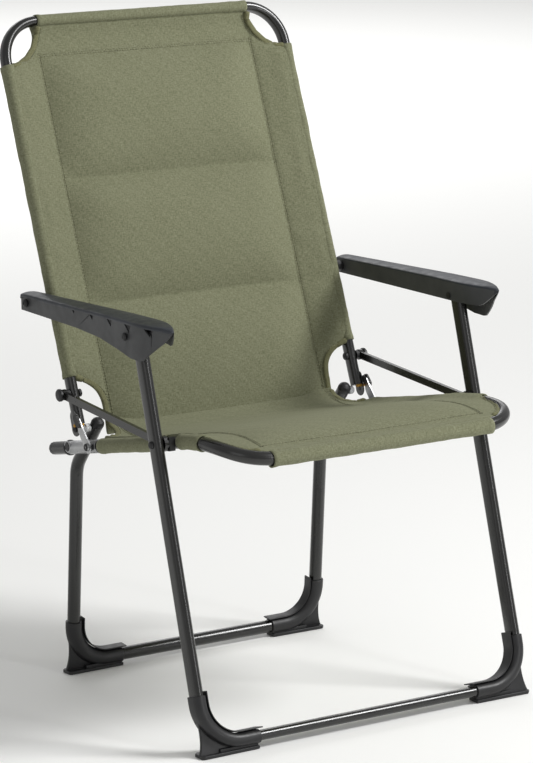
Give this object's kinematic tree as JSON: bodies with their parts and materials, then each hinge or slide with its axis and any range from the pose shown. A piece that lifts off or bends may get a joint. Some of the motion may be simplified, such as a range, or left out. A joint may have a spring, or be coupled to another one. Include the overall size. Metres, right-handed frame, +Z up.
{
  "type": "folding camp chair",
  "caption": "Folding camp chair with a fabric sling back and seat, channel armrests, two U-shaped leg frames with shoes, side rods and seat latches.",
  "frame": {"origin": "floor under the middle of the chair's bounding box", "axes": "+Z up, -Y the way the chair faces, +X to the side; left is -X"},
  "size_m": [0.5768, 0.6392, 0.941],
  "materials": {
    "frame_paint": "semi-gloss anthracite powder coat",
    "black_plastic": "moulded, satin",
    "armrest_plastic": "moulded, fine matt grain",
    "olive_fabric": "padded polyester weave",
    "zinc_steel": "zinc plated",
    "brass_pin": "yellow passivated"
  },
  "bodies": {
    "back_frame": {"back_frame_tube": "frame_paint", "back_sling": "olive_fabric", "armrest_rear_bolt_left": "black_plastic", "armrest_rear_bolt_right": "black_plastic", "armrest_spacer_left": "black_plastic", "armrest_spacer_right": "black_plastic", "rod_rear_bolt_left": "black_plastic", "rod_rear_bolt_right": "black_plastic", "rod_spacer_left": "black_plastic", "rod_spacer_right": "black_plastic", "rod_knob_left": "black_plastic", "rod_knob_right": "black_plastic", "latch_pin_left": "brass_pin", "latch_pin_right": "brass_pin", "back_lower_rivet_left": "black_plastic", "back_lower_rivet_right": "black_plastic"},
    "armrest_left": {"armrest_left": "armrest_plastic"},
    "armrest_right": {"armrest_right": "armrest_plastic"},
    "front_legs": {"front_leg_tube": "frame_paint", "front_foot_left": "black_plastic", "front_foot_right": "black_plastic", "front_leg_plug_left": "black_plastic", "front_leg_plug_right": "black_plastic", "armrest_front_bolt_left": "black_plastic", "armrest_front_bolt_right": "black_plastic", "armrest_bush_left": "black_plastic", "armrest_bush_right": "black_plastic", "seat_bolt_left": "black_plastic", "seat_bolt_right": "black_plastic"},
    "side_rod_left": {"side_rod_left": "frame_paint"},
    "side_rod_right": {"side_rod_right": "frame_paint"},
    "seat": {"seat_frame_tube": "frame_paint", "seat_sling": "olive_fabric", "seat_tube_cap_left": "black_plastic", "seat_tube_cap_right": "black_plastic", "seat_pivot_block_left": "black_plastic", "seat_pivot_block_right": "black_plastic", "rear_leg_bolt_left": "zinc_steel", "rear_leg_bolt_right": "zinc_steel", "latch_bolt_left": "zinc_steel", "latch_bolt_right": "zinc_steel", "latch_spacer_left": "black_plastic", "latch_spacer_right": "black_plastic"},
    "rear_legs": {"rear_leg_tube": "frame_paint", "rear_foot_left": "black_plastic", "rear_foot_right": "black_plastic", "rear_leg_cap_left": "black_plastic", "rear_leg_cap_right": "black_plastic", "rear_leg_bush_left": "zinc_steel", "rear_leg_bush_right": "zinc_steel"},
    "latch_left": {"latch_plate_left": "zinc_steel", "latch_tab_left": "black_plastic"},
    "latch_right": {"latch_plate_right": "zinc_steel", "latch_tab_right": "black_plastic"}
  },
  "joints": [
    {"name": "chair_fold", "type": "hinge", "parent": "back_frame", "child": "armrest_left", "pos_m": [-0.2655, 0.16571, 0.555], "axis": [-1, 0, 0], "range_deg": [0, 104]},
    {"name": "armrest_right_pivot", "type": "hinge", "parent": "back_frame", "child": "armrest_right", "pos_m": [0.2655, 0.16571, 0.555], "axis": [-1, 0, 0], "range_deg": [0, 104]},
    {"name": "front_leg_pivot", "type": "hinge", "parent": "armrest_left", "child": "front_legs", "pos_m": [-0.2615, -0.12029, 0.551], "axis": [1, 0, 0], "range_deg": [0, 97]},
    {"name": "side_rod_left_pivot", "type": "hinge", "parent": "back_frame", "child": "side_rod_left", "pos_m": [-0.2505, 0.11671, 0.428], "axis": [-1, 0, 0], "range_deg": [0, 107.3]},
    {"name": "side_rod_right_pivot", "type": "hinge", "parent": "back_frame", "child": "side_rod_right", "pos_m": [0.2505, 0.11671, 0.428], "axis": [-1, 0, 0], "range_deg": [0, 107.3]},
    {"name": "seat_pivot", "type": "hinge", "parent": "front_legs", "child": "seat", "pos_m": [0, -0.15629, 0.407], "axis": [-1, 0, 0], "range_deg": [0, 90.9]},
    {"name": "rear_leg_pivot", "type": "hinge", "parent": "seat", "child": "rear_legs", "pos_m": [0, 0.13171, 0.349], "axis": [-1, 0, 0], "range_deg": [0, 101.1]},
    {"name": "latch_left_pivot", "type": "hinge", "parent": "seat", "child": "latch_left", "pos_m": [-0.2428, 0.06471, 0.361], "axis": [1, 0, 0], "range_deg": [0, 25]},
    {"name": "latch_right_pivot", "type": "hinge", "parent": "seat", "child": "latch_right", "pos_m": [0.2428, 0.06471, 0.361], "axis": [1, 0, 0], "range_deg": [0, 25]}
  ],
  "couplings": [
    {"joint": "armrest_right_pivot", "follows": "chair_fold", "ratio": 1},
    {"joint": "front_leg_pivot", "follows": "chair_fold", "ratio": 0.9326},
    {"joint": "side_rod_left_pivot", "follows": "chair_fold", "ratio": 1.0317},
    {"joint": "side_rod_right_pivot", "follows": "chair_fold", "ratio": 1.0317},
    {"joint": "seat_pivot", "follows": "chair_fold", "ratio": 0.874},
    {"joint": "rear_leg_pivot", "follows": "chair_fold", "ratio": 0.972}
  ]
}
